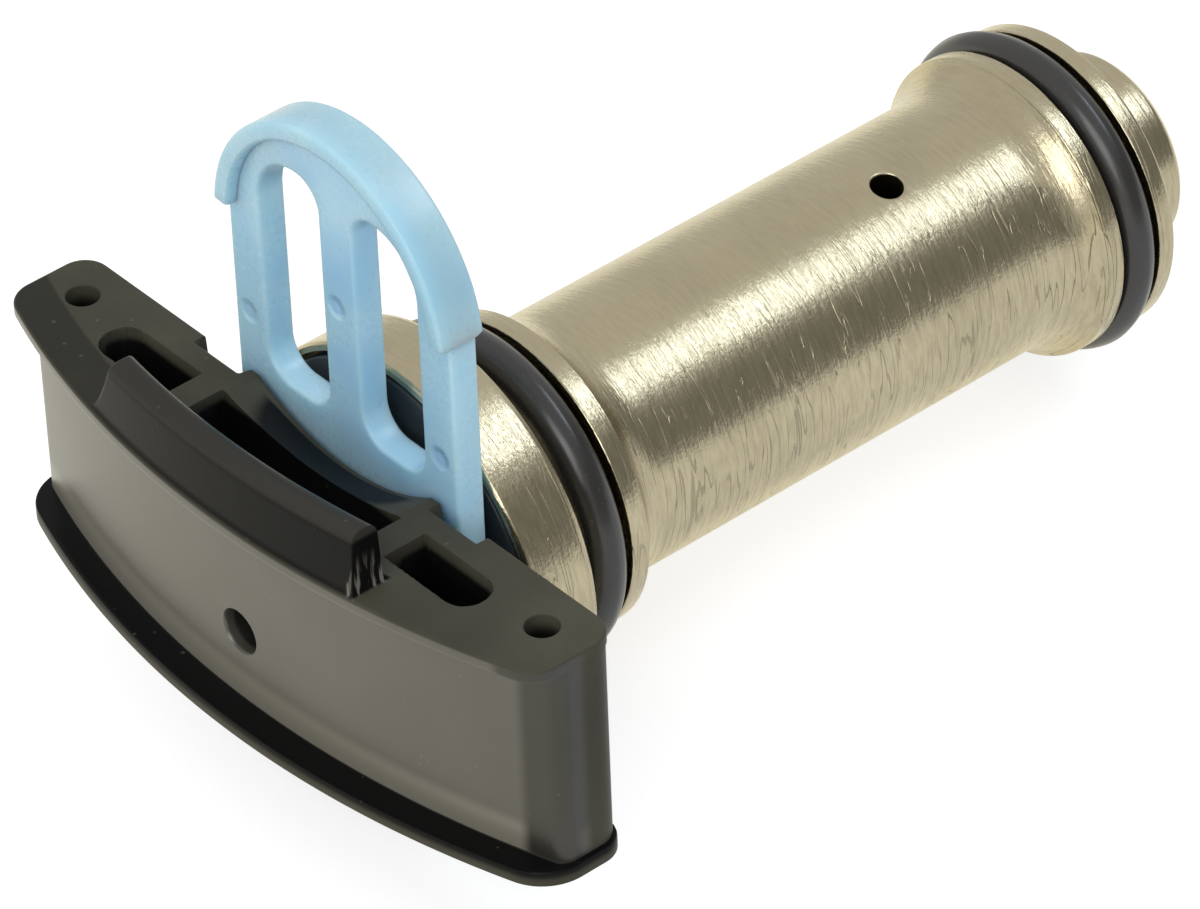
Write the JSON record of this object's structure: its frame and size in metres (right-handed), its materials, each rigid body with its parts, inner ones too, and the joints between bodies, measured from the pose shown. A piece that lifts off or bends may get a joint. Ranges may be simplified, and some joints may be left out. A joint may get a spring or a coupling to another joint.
{
  "type": "timing chain tensioner",
  "caption": "Hydraulic chain tensioner: turned steel cylinder with O-rings, spring and oil loaded plunger, moulded shoe with guide lip, and a pull-off transport clip.",
  "frame": {"origin": "middle of the rear plug's end face, on the cylinder's axis", "axes": "+Y out of the rear end along the cylinder, -Y towards the chain shoe, +Z the way the transport clip pulls off, X along the shoe"},
  "size_m": [0.057, 0.0839, 0.0511],
  "materials": {
    "turned_steel": "turned and ground, with fine rings and scratches",
    "bright_steel": "bright drawn wire and ground steel",
    "black_rubber": "satin, lightly oiled",
    "black_plastic": "moulded, satin, polished on the running face",
    "blue_plastic": "translucent light blue moulding",
    "natural_plastic": "natural moulding"
  },
  "bodies": {
    "cylinder": {"housing": "turned_steel", "front_washer": "black_plastic", "front_o_ring": "black_rubber", "rear_o_ring": "black_rubber", "rear_plug": "turned_steel", "plug_seal_ring": "black_rubber", "spacer_sleeve": "turned_steel", "valve_seat": "turned_steel", "valve_seal_ring": "black_rubber", "ball_cage": "turned_steel", "ball_spring": "bright_steel", "main_spring": "bright_steel"},
    "plunger_and_shoe": {"plunger": "turned_steel", "plunger_stop_ring": "bright_steel", "nose_snap_ring": "bright_steel", "metering_disc": "bright_steel", "volume_filler": "natural_plastic", "shoe": "black_plastic"},
    "valve_ball": {"check_ball": "bright_steel"},
    "clip": {"transport_clip": "blue_plastic"}
  },
  "joints": [
    {"name": "plunger_slide", "type": "slide", "parent": "cylinder", "child": "plunger_and_shoe", "axis": [0, -1, 0], "range_m": [0, 0.0155], "deforming": ["main_spring"]},
    {"name": "valve_ball_lift", "type": "slide", "parent": "cylinder", "child": "valve_ball", "axis": [0, -1, 0], "range_m": [0, 0.0008], "stiffness_N_per_m": 60, "springref_m": -0.0005, "deforming": ["ball_spring"]},
    {"name": "clip_pull", "type": "slide", "parent": "cylinder", "child": "clip", "axis": [0, 0, 1], "range_m": [0, 0.021]}
  ]
}
